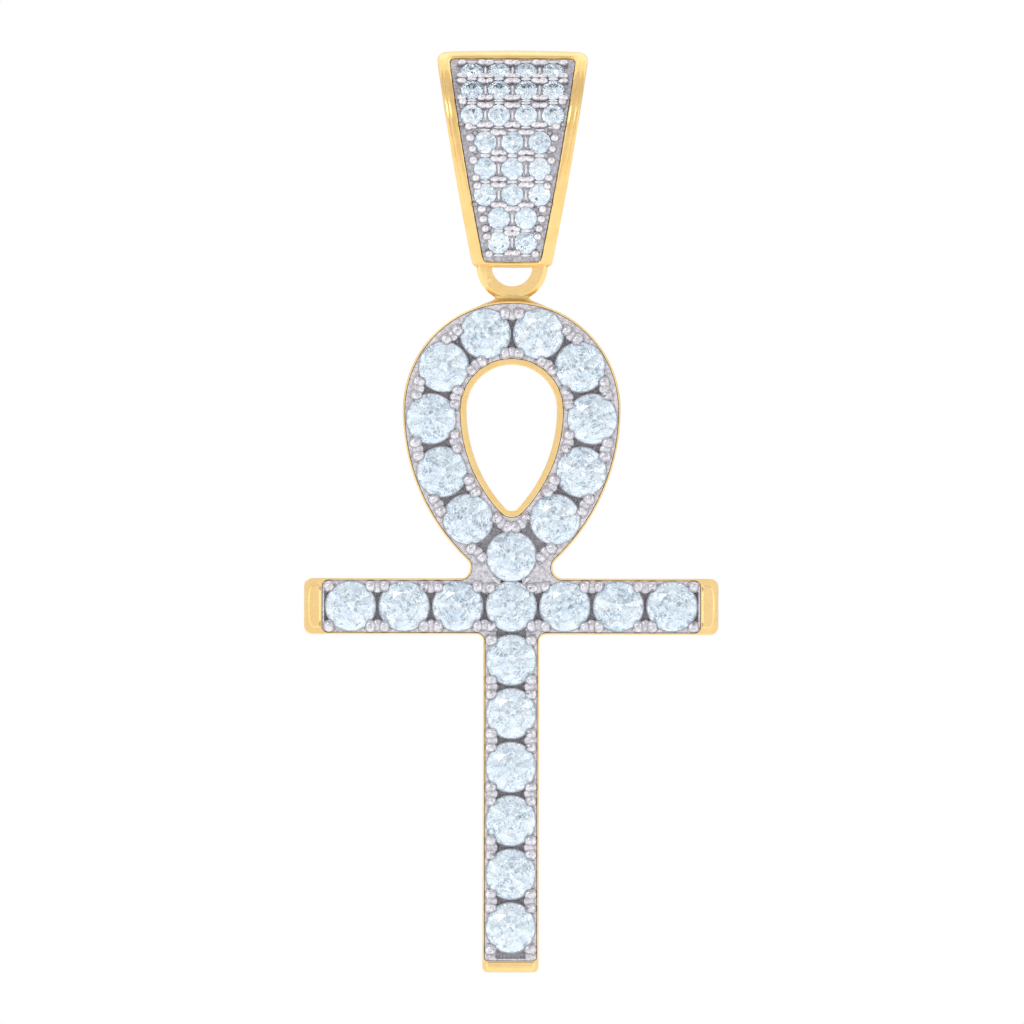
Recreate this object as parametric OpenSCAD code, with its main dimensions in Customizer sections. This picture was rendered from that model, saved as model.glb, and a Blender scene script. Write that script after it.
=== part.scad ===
// Ankh pendant: a two-tone ankh set with round stones, hanging by a ring from a paved bail.
// Millimetres, +Z up, the front faces -Y. The origin is the crest inside the bail, where a chain sits.

/* [Main stones] */
// Girdle diameter of a main stone
stone_d = 2.75; // [2.5:0.05:3]
// Gap between neighbouring stones of the crossbar and the stem
stone_gap = 0.25; // [0.2:0.01:0.4]
// Stones on each arm of the crossbar, beside the middle one
arm_stones = 3; // [2:1:4]
// Stones down the stem, below the middle one
stem_stones = 6; // [4:1:8]
// Gap between the middle stone and the neck stone above it
neck_gap = 0.05; // [0.04:0.01:0.15]
// Extra spacing of the loop's stones, along their centre line
loop_gap = 0.295; // [0.24:0.005:0.4]

/* [Ankh body] */
// Thickness of the body, front to back
body_t = 2.8; // [2.5:0.1:3.4]
// Width of the gold rim outside the white setting
rim_w = 0.11; // [0.09:0.01:0.2]
// Width of the gold lip round the loop's opening
hole_lip = 0.36; // [0.25:0.01:0.5]
// Radius of the opening's lower tip
tip_r = 0.5; // [0.3:0.05:0.8]
// Length of the gold block at each end of the crossbar
arm_block = 1; // [0.8:0.05:1.3]
// Length of the gold block at the foot of the stem
foot_block = 0.64; // [0.5:0.02:0.9]
// Corner radius of the crossbar's ends
arm_corner_r = 0.45; // [0.3:0.05:0.7]
// Corner radius of the stem's foot
foot_corner_r = 0.3; // [0.2:0.05:0.5]
// Fillet where the loop meets the crossbar
neck_fillet = 0.6; // [0.4:0.05:0.9]
// Fillet where the stem meets the crossbar
stem_fillet = 0.4; // [0.2:0.05:0.6]
// Height that the pads on the end blocks stand proud
pad_rise = 0.1; // [0.05:0.01:0.2]
// Margin round those pads
pad_margin = 0.22; // [0.15:0.01:0.25]
// Radius of the light hole behind each main stone
light_hole_r = 0.8; // [0.5:0.05:1]

/* [White setting of the ankh] */
// Thickness of the setting
plate_t = 1; // [0.8:0.05:1.2]
// Width of the setting outside the stones, along its sides
plate_edge = 0.085; // [0.06:0.005:0.2]
// Width of the setting inside the loop's stones, towards the opening
inner_edge = 0.26; // [0.2:0.01:0.35]
// Length of the setting beyond the last stone of an arm
arm_margin = 0.225; // [0.2:0.01:0.4]
// Length of the setting beyond the last stone of the stem
foot_margin = 0.475; // [0.4:0.01:0.7]
// Diameter of a prong's bead
prong_d = 0.47; // [0.35:0.01:0.5]
// Spacing of the two prongs beside a gap
prong_spacing = 0.78; // [0.65:0.01:0.85]
// Distance of the prongs from the stones' centre line
prong_offset = 1.03; // [1:0.01:1.08]
// Height of a prong above the setting
prong_h = 0.36; // [0.28:0.01:0.42]
// Width of the dark recess between two stones
recess_w = 1.7; // [1.3:0.05:1.8]
// Depth of that recess
recess_depth = 0.7; // [0.4:0.05:0.75]

/* [Ring] */
// Inner radius of the ring on top of the loop
ring_hole_r = 1.15; // [1:0.05:1.5]
// Wire width of the ring
ring_w = 0.85; // [0.7:0.05:1]
// Thickness of the ring, front to back
ring_t = 0.85; // [0.7:0.05:1]
// Bevel of the ring's outer edges
ring_bevel = 0.2; // [0.1:0.05:0.3]
// Depth that the ring is sunk into the loop, where it is soldered
ring_sink = 0.02; // [0.01:0.01:0.1]
// Radius of the solder fillets between the ring and the loop
solder_fillet = 0.28; // [0.2:0.02:0.5]

/* [Bail] */
// Girdle diameter of a small stone
pave_d = 1.25; // [1.15:0.05:1.35]
// Gap between the small stones of a row
pave_gap = 0.27; // [0.24:0.01:0.35]
// Arc length from the bail's lower edge to the lowest row of stones
pave_foot = 1.42; // [1.3:0.02:1.7]
// Backward tilt of the top row of stones, in degrees
top_row_tilt = 49; // [45:1:52]
// Radius of the front's gentle lower curve
low_r = 25; // [20:1:40]
// Height of the front's straight stretch
straight_h = 1; // [0.6:0.1:1.5]
// Radius of the front's upper curve
upper_r = 5; // [4.6:0.1:5.6]
// Radius of the crest
crest_r = 3; // [2.6:0.1:3.4]
// Radius of the curve from the crest to the back
back_r = 2.35; // [2.25:0.05:2.8]
// Wall thickness of the bail
bail_wall = 1.1; // [1:0.05:1.2]
// Thickness of the white setting let into the bail's front
pave_t = 0.75; // [0.7:0.01:0.8]
// Width of the gold rim at the sides of that setting
bail_rim = 0.68; // [0.5:0.02:0.9]
// Height of the gold rim below that setting
bail_rim_foot = 0.31; // [0.2:0.01:0.45]
// Height of the gold rim above that setting, seen from the front
bail_rim_head = 0.36; // [0.3:0.01:0.5]
// Width of the setting beside the stones of the lowest row
side_margin_foot = 0.76; // [0.76:0.02:1]
// Width of the setting beside the stones of the top row
side_margin_head = 1.31; // [1.25:0.02:1.6]
// Outward bulge of the bail's sides
side_bulge = 0.11; // [0.08:0.01:0.2]
// Corner radius of the bail, seen from the front
bail_corner_r = 0.42; // [0.2:0.02:0.6]
// Corner radius of the white setting in the bail
field_corner_r = 0.25; // [0.1:0.05:0.4]
// Distance below the front's straight stretch where the back starts to lean in to the ring's slot
back_waist = 2.6; // [2:0.1:3.2]
// Height of the slot's straight mouth
slot_straight = 0.6; // [0.3:0.1:0.8]
// Diameter of a small bead
bead_d = 0.33; // [0.26:0.01:0.35]
// Spacing of the two beads between neighbours in a row
bead_spacing = 0.4; // [0.36:0.01:0.42]
// Height of a small bead above the setting
bead_rise = 0.2; // [0.17:0.01:0.24]
// Radius of the light hole behind each small stone
pave_hole_r = 0.3; // [0.2:0.02:0.35]

/* [Pin and fits] */
// Radius of the pin that carries the ring
pin_r = 0.4; // [0.3:0.05:0.5]
// Height of the pin's axis above the bail's lower edge
pin_lift = 0.8; // [0.7:0.05:1.2]
// Length of pin that is held in the bail's front wall
pin_grip = 0.3; // [0.2:0.05:0.35]
// Gap between the ring and each wall of the bail
slot_gap = 0.25; // [0.2:0.05:0.5]
// Running gap between the pin and the ring
pin_gap = 0.05; // [0.03:0.01:0.1]
// Gap between pieces that are set into each other
fit = 0.02; // [0.01:0.005:0.03]

/* [Hidden] */
$fn = 64;
over = 1;
small_fn = 24;

// Round brilliant, as shares of the girdle diameter
table_share = 0.56;
crown_share = 0.145;
girdle_share = 0.03;
pavilion_share = 0.43;
// Where the star facets and the lower halves end, as shares of the girdle radius
star_share = 0.80;
lower_share = 0.26;

// Proportions of the loop, in spacings of its stones
loop_r_share = 1.4877;
flank_share = 1.803;
loop_rise_share = 3.6125;
LOOP_SIDE = 5;
// The neck's fillets cut this far into the flanks, so that the two arcs cross
arc_bite = 0.004;

pitch = stone_d + stone_gap;
loop_pitch = stone_d + loop_gap;
stone_r = stone_d / 2;

// The white setting, the rim outside it and the lip inside it share one centre line of stones
half_band = stone_r + plate_edge + rim_w;
arm_len = arm_stones * pitch + stone_r + arm_margin + arm_block;
stem_len = stem_stones * pitch + stone_r + foot_margin + foot_block;
loop_r = loop_r_share * loop_pitch;
flank_x = flank_share * loop_pitch;
loop_y = loop_rise_share * loop_pitch;
hole_r = loop_r - stone_r - inner_edge - hole_lip;

// The bail's front, as arcs: a gentle lower curve, a straight stretch, an upper curve and the crest
COUNT = 0;
STEP = 1;
// Rows of small stones from the bottom: stones in the row, step from the row below in spacings
pave_rows = [
    [2, 0], [2, 0.91], [3, 0.875], [3, 0.955], [3, 0.975], [4, 1.005], [4, 1.025], [4, 0.95]
];
pave_pitch = pave_d + pave_gap;
function row_s(i) = i == 0 ? pave_foot : row_s(i - 1) + pave_rows[i][STEP] * pave_pitch;
// The beads stand this much nearer along the bail than across it
bead_tuck = 0.04;
crest_start = 65;
arc_steps = 13;
low_steps = 4;
crest_steps = 5;
back_steps = 10;
low_len = row_s(len(pave_rows) - 1) - straight_h - upper_r * top_row_tilt * PI / 180;
low_tilt = low_len / low_r * 180 / PI;
low_h = low_r * sin(low_tilt);
upper_z = low_h + straight_h;
bail_h = upper_z + upper_r * sin(crest_start) + crest_r * (1 - sin(crest_start));
bail_back = upper_r * (1 - cos(crest_start)) + crest_r * cos(crest_start);

// Levels, from the chain's seat at the origin downwards
bail_z = bail_wall - bail_h;
pin_z = bail_z + pin_lift;
ring_z = pin_z + pin_r + pin_gap - ring_hole_r;
ring_r = ring_hole_r + ring_w;
loop_top = loop_y + loop_r + half_band;
bar_z = ring_z - ring_r + ring_sink - loop_top;

// Depths: the front line of the bail at its lower edge carries the ring's slot behind it
ring_y = -bail_back + low_r - (low_r - bail_wall) * cos(low_tilt) + slot_gap + ring_t / 2;
slot_back = ring_y + ring_t / 2 + slot_gap;
bail_depth = bail_back + back_r;

// The bail's outline, seen from the front
frame_foot = pave_pitch * (pave_rows[0][COUNT] - 1) / 2 + side_margin_foot + bail_rim;
frame_head = pave_pitch * (pave_rows[len(pave_rows) - 1][COUNT] - 1) / 2 + side_margin_head + bail_rim;
side_steps = 8;

// Stones of the ankh as [x, height above the crossbar's middle]
function bar_stone(i) = [(i - arm_stones) * pitch, 0];
function stem_stone(i) = [0, -(i + 1) * pitch];
// The loop's centre line: a round top, then two flanks that lean in to the neck
function loop_stone(side, i) =
    let (s = (i + 0.5) * loop_pitch, quarter = loop_r * PI / 2, a = s / loop_r * 180 / PI,
         b = (s - quarter) / (flank_x + loop_r) * 180 / PI)
    s < quarter ? [side * loop_r * sin(a), loop_y + loop_r * cos(a)]
                : [side * ((flank_x + loop_r) * cos(b) - flank_x), loop_y - (flank_x + loop_r) * sin(b)];
neck = [0, stone_d + neck_gap];
bar = [for (i = [0 : 2 * arm_stones]) bar_stone(i)];
stem = [for (i = [0 : stem_stones - 1]) stem_stone(i)];
left = [for (i = [0 : LOOP_SIDE - 1]) loop_stone(-1, i)];
right = [for (i = [0 : LOOP_SIDE - 1]) loop_stone(1, i)];
stones = concat(bar, stem, [neck], left, right);

// Pairs of neighbours with a recess and four prongs between them, all round the loop from the neck
function reversed(v) = [for (i = [len(v) - 1 : -1 : 0]) v[i]];
function chain(row) = [for (i = [0 : len(row) - 2]) [row[i], row[i + 1]]];
loop_chain = concat([neck], reversed(left), right, [neck]);
full_gaps = concat(chain(bar), chain(stem), chain(loop_chain));
first_stem_gap = [bar[arm_stones], stem[0]];
neck_recess_w = 1.2;
end_gaps = [[bar[1], bar[0]], [bar[2 * arm_stones - 1], bar[2 * arm_stones]],
            [stem[stem_stones - 2], stem[stem_stones - 1]]];
end_margins = [arm_margin, arm_margin, foot_margin];
end_prong = 1.2;
end_wall = 0.1;
recess_len = 1.1;
prong_root = 0.5;

function stone_name(i) = str("stone_", i < 10 ? "0" : "", i);

// A point of the bail's front line at arc length s from the lower edge, moved inwards by d
function low_pt(a, d) = [low_r - (low_r - d) * cos(a), low_h - (low_r - d) * sin(a)];
function upper_pt(a, d) = [upper_r - (upper_r - d) * cos(a), upper_z + (upper_r - d) * sin(a)];
function crest_pt(a, d) =
    [bail_back - (crest_r - d) * cos(a), bail_h - crest_r + (crest_r - d) * sin(a)];
function back_pt(a, d) =
    [bail_back - (back_r - d) * cos(a), bail_h - back_r + (back_r - d) * sin(a)];
function front_line(d) = concat(
    [for (i = [0 : low_steps]) low_pt(low_tilt * (1 - i / low_steps), d)],
    [for (i = [0 : arc_steps]) upper_pt(crest_start * i / arc_steps, d)],
    [for (i = [1 : crest_steps]) crest_pt(crest_start + (90 - crest_start) * i / crest_steps, d)]);

// Tilt of the front at arc length s, upwards positive, and the place there
function tilt_at(s) = s < low_len ? -(low_len - s) / low_r * 180 / PI
    : s < low_len + straight_h ? 0 : (s - low_len - straight_h) / upper_r * 180 / PI;
function place_at(s) = s < low_len ? low_pt(-tilt_at(s), 0)
    : s < low_len + straight_h ? [0, low_h + s - low_len] : upper_pt(tilt_at(s), 0);

// Round brilliant with its girdle in the XY plane and its table up
module brilliant(d) {
    r = d / 2;
    table_r = table_share * r;
    girdle = girdle_share * d / 2;
    crown = crown_share * d + girdle;
    pavilion = pavilion_share * d + girdle;
    star_r = star_share * r;
    lower_r = lower_share * r;
    half = cos(22.5);
    star_z = crown - (crown - girdle) * (star_r * half - table_r) / (r - table_r);
    lower_z = -girdle - (pavilion - girdle) * (1 - lower_r * half / r);
    points = concat(
        [for (i = [0 : 7]) [table_r * cos(45 * i), table_r * sin(45 * i), crown]],
        [for (i = [0 : 7]) [star_r * cos(45 * i + 22.5), star_r * sin(45 * i + 22.5), star_z]],
        [for (i = [0 : 15]) [r * cos(22.5 * i), r * sin(22.5 * i), girdle]],
        [for (i = [0 : 15]) [r * cos(22.5 * i), r * sin(22.5 * i), -girdle]],
        [for (i = [0 : 7]) [lower_r * cos(45 * i + 22.5), lower_r * sin(45 * i + 22.5), lower_z]],
        [[0, 0, -pavilion]]);
    star = 8;
    top = 16;
    low = 32;
    half_low = 48;
    culet = 56;
    faces = concat(
        [[7, 6, 5, 4, 3, 2, 1, 0]],
        [for (i = [0 : 7]) [i, (i + 1) % 8, star + i]],
        [for (i = [0 : 7]) [i, star + i, top + 2 * i, star + (i + 7) % 8]],
        [for (i = [0 : 7]) [star + i, top + 2 * i + 1, top + 2 * i]],
        [for (i = [0 : 7]) [star + i, top + (2 * i + 2) % 16, top + 2 * i + 1]],
        [for (i = [0 : 15]) [top + i, top + (i + 1) % 16, low + (i + 1) % 16, low + i]],
        [for (i = [0 : 7]) [half_low + i, low + 2 * i, low + 2 * i + 1]],
        [for (i = [0 : 7]) [half_low + i, low + 2 * i + 1, low + (2 * i + 2) % 16]],
        [for (i = [0 : 7]) [culet, half_low + (i + 7) % 8, low + 2 * i, half_low + i]]);
    polyhedron(points = points, faces = faces);
}

// Room for a brilliant: its outline turned round its axis, with the fit added
module stone_room(d) {
    r = d / 2 + fit;
    girdle = girdle_share * d / 2 + fit;
    rotate_extrude()
        polygon([[0, -pavilion_share * d - 2 * girdle], [r, -girdle], [r, girdle],
                 [table_share * d / 2 + fit, crown_share * d + girdle], [0, crown_share * d + girdle]]);
}

// A prong or bead: a short post with a round top, h above the XY plane
module bead(d, h, root) {
    translate([0, 0, h - d / 2]) sphere(d = d, $fn = small_fn);
    translate([0, 0, -root]) cylinder(d = d, h = root + h - d / 2, $fn = small_fn);
}

// Moves a front view, drawn in XY with +Z towards the viewer, to the ankh's plane
module facing() {
    translate([0, ring_y, bar_z]) rotate([90, 0, 0]) children();
}

module rounded_bar(half_len, half_w, r) {
    square([2 * (half_len - r), 2 * half_w], center = true);
    square([2 * half_len, 2 * (half_w - r)], center = true);
    for (x = [-1, 1], y = [-1, 1]) translate([x * (half_len - r), y * (half_w - r)]) circle(r);
}

// The loop, drawn r away from the middle of its round top, with flanks that run down to height low
module loop_disc(r, low) {
    translate([0, loop_y]) circle(r, $fn = 128);
    intersection() {
        translate([-flank_x, loop_y]) circle(flank_x + r, $fn = 256);
        translate([flank_x, loop_y]) circle(flank_x + r, $fn = 256);
        translate([-2 * flank_x, low]) square([4 * flank_x, loop_y - low]);
    }
}

// The loop's opening, a drop with a round tip, widened all round by lip
module opening(lip) {
    tip = tip_r + lip;
    tip_reach = flank_x + hole_r - tip_r;
    drop = sqrt(pow(tip_reach, 2) - pow(flank_x, 2));
    translate([0, loop_y - drop]) circle(tip);
    loop_disc(hole_r + lip, loop_y - drop - tip * drop / tip_reach);
}

// Round corner between a flank of the loop and the top of the crossbar
module neck_corner(side) {
    flank_r = flank_x + loop_r + half_band - side;
    top = half_band - side;
    r = neck_fillet + side;
    reach = flank_r + r - arc_bite;
    y = top + r;
    x = sqrt(pow(reach, 2) - pow(loop_y - y, 2)) - flank_x;
    inside = (r + rim_w) / reach;
    inner_x = sqrt(pow(flank_r, 2) - pow(loop_y - top, 2)) - flank_x - r;
    difference() {
        polygon([[inner_x, top - r], [x, top - r], [x, y],
                 [x - inside * (x + flank_x), y + inside * (loop_y - y)]]);
        translate([x, y]) circle(r);
    }
}

// Outline of the ankh, drawn in by: side along its edges, arm and foot at its ends, lip at the opening
module ankh_outline(side, arm, foot, lip) {
    w = half_band - side;
    stem_r = stem_fillet + side;
    difference() {
        union() {
            rounded_bar(arm_len - arm, w, arm_corner_r - side);
            translate([0, -(stem_len - foot) / 2])
                rotate(90) rounded_bar((stem_len - foot) / 2, w, foot_corner_r - side);
            loop_disc(loop_r + half_band - side, 0);
            for (m = [0, 1]) mirror([m, 0]) {
                neck_corner(side);
                difference() {
                    translate([w - over / 2, -w - stem_r]) square([stem_r + over / 2, stem_r + over / 2]);
                    translate([w + stem_r, -w - stem_r]) circle(stem_r);
                }
            }
        }
        opening(lip);
    }
}

// Places its children on a gap: +X from one stone to the next, the origin halfway
module at_gap(pair) {
    along = pair[1] - pair[0];
    translate((pair[0] + pair[1]) / 2) rotate(atan2(along.y, along.x)) children();
}

// The ring's outline turned round its axis, bevelled outside, with the solder that joins it to the loop
module ring() {
    ring_top = ring_z - bar_z;
    loop_out = loop_r + half_band;
    apart = ring_top - loop_y;
    from_loop = loop_out + solder_fillet;
    from_ring = ring_r + solder_fillet;
    rise = (from_loop * from_loop - from_ring * from_ring + apart * apart) / (2 * apart);
    x = sqrt(from_loop * from_loop - rise * rise);
    foot = loop_out / from_loop;
    translate([0, ring_top])
        rotate_extrude()
            polygon([[ring_hole_r, -ring_t / 2], [ring_r - ring_bevel, -ring_t / 2],
                     [ring_r, -ring_t / 2 + ring_bevel], [ring_r, ring_t / 2 - ring_bevel],
                     [ring_r - ring_bevel, ring_t / 2], [ring_hole_r, ring_t / 2]]);
    translate([0, 0, -ring_t / 2]) linear_extrude(ring_t) difference() {
        polygon([[-x, loop_y + rise], [x, loop_y + rise], [x * foot, loop_y + rise * foot],
                 [0, loop_y + loop_out - rim_w], [-x * foot, loop_y + rise * foot]]);
        for (side = [-1, 1]) translate([side * x, loop_y + rise]) circle(solder_fillet);
        translate([0, ring_top]) circle((ring_hole_r + ring_r) / 2);
    }
}

// Strip along Y whose two long sides are bevelled
module bevelled_strip(w, h) {
    rotate([90, 0, 0]) translate([0, 0, -h / 2]) linear_extrude(h)
        polygon([[-w / 2, -pad_rise], [w / 2, -pad_rise],
                 [w / 2 - pad_rise, pad_rise], [pad_rise - w / 2, pad_rise]]);
}

// Pad on an end block, bevelled on its four sides, its long side along Y
module pad(w, h) {
    intersection() {
        bevelled_strip(w, h);
        rotate(90) bevelled_strip(h, w);
    }
}

module ankh_body() color("gold") facing() {
    front = body_t / 2;
    difference() {
        union() {
            translate([0, 0, -front]) linear_extrude(body_t) ankh_outline(0, 0, 0, 0);
            ring();
            for (side = [-1, 1]) translate([side * (arm_len - arm_block / 2), 0, front])
                pad(arm_block - 2 * pad_margin, 2 * (half_band - pad_margin));
            translate([0, -stem_len + foot_block / 2, front])
                rotate(90) pad(foot_block - pad_margin, 2 * (half_band - pad_margin));
        }
        translate([0, 0, front - plate_t - fit]) linear_extrude(plate_t + over)
            ankh_outline(rim_w, arm_block, foot_block, hole_lip);
        for (s = stones) translate([s.x, s.y, -front - over])
            cylinder(r = light_hole_r, h = body_t - plate_t + over);
    }
}

module ankh_setting() color("silver") facing() {
    front = body_t / 2;
    difference() {
        union() {
            difference() {
                translate([0, 0, front - plate_t]) linear_extrude(plate_t)
                    ankh_outline(rim_w + fit, arm_block + fit, foot_block + fit, hole_lip + fit);
                for (pair = concat(full_gaps, [first_stem_gap])) at_gap(pair)
                    translate([-recess_len / 2, -recess_w / 2, front - recess_depth])
                        cube([recess_len, recess_w, over + recess_depth]);
                at_gap([bar[arm_stones], neck])
                    translate([-recess_len / 2, -neck_recess_w / 2, front - recess_depth])
                        cube([recess_len, neck_recess_w, over + recess_depth]);
                for (i = [0 : 2]) translate(end_gaps[i][1]) rotate(end_angle(end_gaps[i]))
                    translate([stone_r - recess_len / 2, -recess_w / 2, front - recess_depth])
                        cube([recess_len / 2 + end_margins[i] - fit - end_wall,
                              recess_w, over + recess_depth]);
            }
            for (pair = full_gaps) at_gap(pair) for (x = [-1, 1]) prong_pair(x * prong_spacing / 2);
            at_gap(first_stem_gap) prong_pair(prong_spacing / 2);
            for (pair = end_gaps) translate(pair[1]) rotate(end_angle(pair)) prong_pair(end_prong);
        }
        for (s = stones) translate([s.x, s.y, front]) stone_room(stone_d);
    }
}

function end_angle(pair) = atan2(pair[1].y - pair[0].y, pair[1].x - pair[0].x);

// Two prongs across the row of stones, at x along it
module prong_pair(x) {
    for (y = [-1, 1]) translate([x, y * prong_offset, body_t / 2]) bead(prong_d, prong_h, prong_root);
}

module main_stone(i) color("lightcyan") facing()
    translate([stones[i - 1].x, stones[i - 1].y, body_t / 2]) brilliant(stone_d);

// Draws a side view of the bail, Y across and Z up, out to both sides
module across(half_w) {
    translate([-half_w, -bail_back, bail_z]) rotate([90, 0, 90]) linear_extrude(2 * half_w) children();
}

// Cuts a front view of the bail, X across and height above its lower edge, through from front to back
module through(depth_from, depth_to) {
    translate([0, depth_to, bail_z]) rotate([90, 0, 0]) linear_extrude(depth_to - depth_from) children();
}

function side_x(u) = frame_foot + (frame_head - frame_foot) * u + 4 * side_bulge * u * (1 - u);
function side_pts(from_z, to_z, d) =
    [for (i = [0 : side_steps]) let (z = from_z + (to_z - from_z) * i / side_steps)
        [side_x(z / bail_h) - d, z]];

// The bail's outline from the front, drawn in by: side at its sides, foot and head at its ends
module bail_outline(side, foot, head, corner) {
    right_side = side_pts(foot, bail_h - head, side);
    offset(r = corner) offset(delta = -corner)
        polygon(concat(right_side, [for (p = reversed(right_side)) [-p.x, p.y]]));
}

// Side view of the bail's wall: the front line, the crest, the back, and the slot for the ring
module bail_profile() {
    back_y = bail_back + back_r;
    waist_z = low_h - back_waist;
    slot_y = slot_back + bail_back;
    difference() {
        polygon(concat(front_line(0), [for (i = [1 : back_steps]) back_pt(90 + 90 * i / back_steps, 0)],
                       [[back_y, waist_z], [slot_y + bail_wall, 0]]));
        polygon(concat([[low_pt(low_tilt, bail_wall).x, -over], low_pt(low_tilt, bail_wall)],
                       front_line(bail_wall),
                       [for (i = [1 : back_steps]) back_pt(90 + 90 * i / back_steps, bail_wall)],
                       [[back_y - bail_wall, waist_z], [slot_y, slot_straight], [slot_y, -over]]));
    }
}

// Strip along the bail's front between two depths
module front_strip(d_from, d_to) {
    polygon(concat(front_line(d_from), reversed(front_line(d_to))));
}

// Places its children on the front of the bail at x and arc length s, +Z outwards
module on_front(x, s) {
    p = place_at(s);
    translate([x, p.x - bail_back, p.y + bail_z]) rotate([90 - tilt_at(s), 0, 0]) children();
}

module at_pave_stones() {
    for (i = [0 : len(pave_rows) - 1]) for (k = [0 : pave_rows[i][COUNT] - 1])
        on_front((k - (pave_rows[i][COUNT] - 1) / 2) * pave_pitch, row_s(i)) children();
}

module bail_frame() color("gold") {
    half_w = frame_head + over;
    difference() {
        intersection() {
            across(half_w) bail_profile();
            through(-bail_back - over, back_r + over) bail_outline(0, 0, 0, bail_corner_r);
        }
        intersection() {
            across(half_w) front_strip(-over, pave_t);
            through(-bail_back - over, 0)
                bail_outline(bail_rim, bail_rim_foot, bail_rim_head, field_corner_r);
        }
        at_pave_stones() translate([0, 0, -bail_wall - over])
            cylinder(r = pave_hole_r, h = bail_wall + over, $fn = small_fn);
        pin_room(pin_r + fit, fit);
    }
}

// The pin's space, from inside the front wall to the bail's back
module pin_room(r, extra) {
    front = ring_y - ring_t / 2 - slot_gap - pin_grip - extra;
    back = slot_back + bail_wall + extra;
    translate([0, back, pin_z]) rotate([90, 0, 0]) cylinder(r = r, h = back - front);
}

module bail_pin() color("gold") pin_room(pin_r, 0);

module bail_setting() color("silver") {
    bead_x = (pave_pitch - bead_spacing) / 2;
    bead_s = bead_x - bead_tuck;
    difference() {
        union() {
            intersection() {
                across(frame_head) front_strip(0, pave_t - fit);
                through(-bail_back - over, 0)
                    bail_outline(bail_rim + fit, bail_rim_foot + fit, bail_rim_head + fit, field_corner_r);
            }
            at_pave_stones() for (x = [-1, 1], y = [-1, 1])
                translate([x * bead_x, y * bead_s, 0]) bead(bead_d, bead_rise, bead_d);
        }
        at_pave_stones() {
            stone_room(pave_d);
            translate([0, 0, -pave_t - over / 2]) cylinder(r = pave_hole_r, h = pave_t, $fn = small_fn);
        }
    }
}

module bail_stones() color("lightcyan") at_pave_stones() brilliant(pave_d);

bail_frame();
bail_setting();
bail_stones();
bail_pin();
ankh_body();
ankh_setting();
for (i = [1 : len(stones)])
    main_stone(i);
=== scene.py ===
"""Looks of the ankh pendant: polished gold, a fine-grained white setting and pale brilliants.

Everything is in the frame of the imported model: +Z up, the front faces -Y, and the origin is the
crest inside the bail, where a chain sits. Lengths written with MM are in metres. Those of the
bail, the pads, the seats' rims and the solder are in millimetres, and what is made from them is
scaled by MM.
"""

import math
import random

import bmesh
import bpy
from mathutils import Matrix, Vector


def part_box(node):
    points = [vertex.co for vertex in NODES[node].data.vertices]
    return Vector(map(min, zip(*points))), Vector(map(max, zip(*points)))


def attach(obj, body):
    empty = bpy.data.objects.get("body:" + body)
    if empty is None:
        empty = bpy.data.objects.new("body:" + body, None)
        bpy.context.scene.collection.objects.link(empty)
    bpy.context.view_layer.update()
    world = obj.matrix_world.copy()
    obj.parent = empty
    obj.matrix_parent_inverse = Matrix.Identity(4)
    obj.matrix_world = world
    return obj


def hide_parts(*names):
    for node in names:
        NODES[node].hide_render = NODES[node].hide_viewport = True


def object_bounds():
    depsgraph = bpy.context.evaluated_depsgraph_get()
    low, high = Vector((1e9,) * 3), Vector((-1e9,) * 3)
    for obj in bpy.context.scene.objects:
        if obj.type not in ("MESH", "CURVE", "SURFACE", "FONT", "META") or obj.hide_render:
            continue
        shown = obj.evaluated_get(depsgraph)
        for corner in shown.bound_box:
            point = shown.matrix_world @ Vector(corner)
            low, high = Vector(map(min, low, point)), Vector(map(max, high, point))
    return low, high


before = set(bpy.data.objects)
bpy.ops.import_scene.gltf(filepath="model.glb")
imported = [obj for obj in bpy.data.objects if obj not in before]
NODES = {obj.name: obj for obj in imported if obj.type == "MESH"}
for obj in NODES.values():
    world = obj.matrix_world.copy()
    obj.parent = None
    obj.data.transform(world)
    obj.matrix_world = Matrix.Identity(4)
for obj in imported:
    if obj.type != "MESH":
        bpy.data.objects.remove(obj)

MM = 0.001
SEED = 7
STONES = sorted(node for node in NODES if node.startswith("stone_"))
cad_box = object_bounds()

# The photograph: real size of a pixel, and where the crossbar's middle is in it
PHOTO_SIDE = 1024
PIXEL = 0.056 * MM
BAR_PIXEL = Vector((511.5, 606.5))
LENS = 1500.0
SENSOR = 36.0
CAMERA_ROLL = -0.14

# Round brilliant, as shares of the girdle's radius, and the slope of its facets in degrees
GIRDLE_SIDES = 64
TABLE = 0.56
CROWN = 0.29
HALF_GIRDLE = 0.03
PAVILION = 0.86
STAR_SLOPE = 21.0
UPPER_SLOPE = 39.0
LOWER_SLOPE = 42.0
MAIN_FACETS = 8
MAIN_TURN = 360 / MAIN_FACETS


def srgb(red, green, blue):
    """A colour given as 0 to 255, in the linear values that shaders take."""
    def linear(value):
        value /= 255
        return value / 12.92 if value <= 0.04045 else ((value + 0.055) / 1.055) ** 2.4
    return linear(red), linear(green), linear(blue), 1.0


GOLD = srgb(249, 215, 152)
GOLD_DEEP = srgb(245, 209, 143)
RIM_GOLD = srgb(246, 210, 144)
RIM_GOLD_DEEP = srgb(240, 201, 131)
SOLDER_GOLD = srgb(228, 207, 154)
SOLDER_DARK = srgb(212, 192, 138)
PLATE = srgb(224, 222, 227)
PLATE_DARK = srgb(178, 176, 183)
# Painted shade in the setting's recesses: a slightly darker grainy tone
SHADED_RECESS = srgb(221, 219, 226)
SHADED_RECESS_DARK = srgb(170, 168, 175)
BAIL_PLATE = srgb(200, 198, 204)
BAIL_PLATE_DARK = srgb(148, 146, 154)
BURNISHED = srgb(234, 233, 240)
BURNISHED_DARK = srgb(188, 186, 194)
BEAD_WHITE = srgb(242, 240, 244)
BEAD_DARK = srgb(212, 209, 216)
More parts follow.
